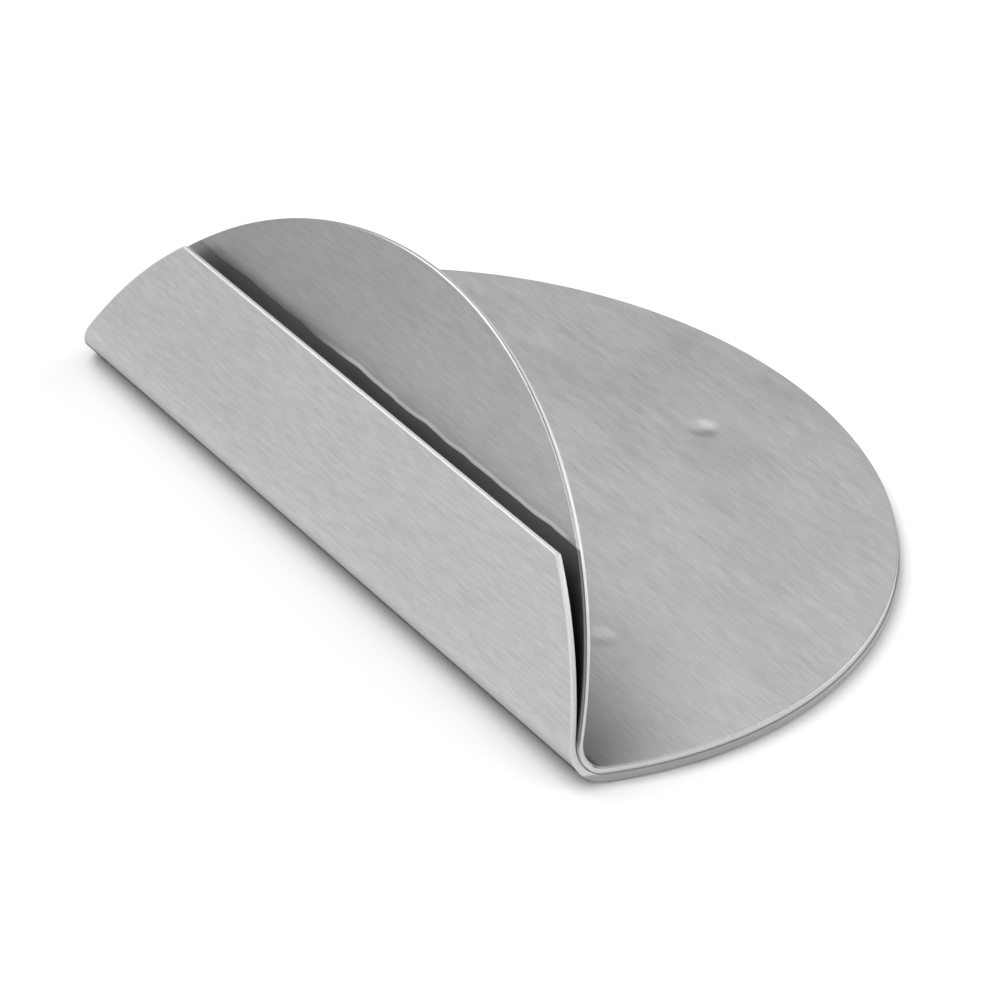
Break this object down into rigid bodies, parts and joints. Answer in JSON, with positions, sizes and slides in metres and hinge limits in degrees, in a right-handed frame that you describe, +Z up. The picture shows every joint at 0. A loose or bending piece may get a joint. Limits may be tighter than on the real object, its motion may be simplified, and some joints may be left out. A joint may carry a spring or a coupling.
{
  "type": "floor door holder",
  "caption": "Round stainless sheet leaves, folded along a chord, spot-welded and nested: a flat base under the door, a tall round stop flap and a short straight flap behind it.",
  "frame": {"origin": "on the floor, under the middle of the holder's bounding box", "axes": "+Z up from the floor; +Y along the fold, parallel to the door's face; +X from the flaps over the flat base"},
  "size_m": [0.0684, 0.1006, 0.0334],
  "materials": {
    "upper_steel": "brushed, satin",
    "lower_steel": "brushed, satin",
    "weld_steel": "cast, dull",
    "adhesive": "tacky film",
    "pad_rubber": "fine matt grain"
  },
  "bodies": {
    "root": {"upper_leaf": "upper_steel", "lower_leaf": "lower_steel", "weld_nugget_middle": "weld_steel", "weld_nugget_near": "weld_steel", "weld_nugget_far": "weld_steel", "pad_adhesive": "adhesive", "non_slip_pad": "pad_rubber"}
  },
  "joints": []
}
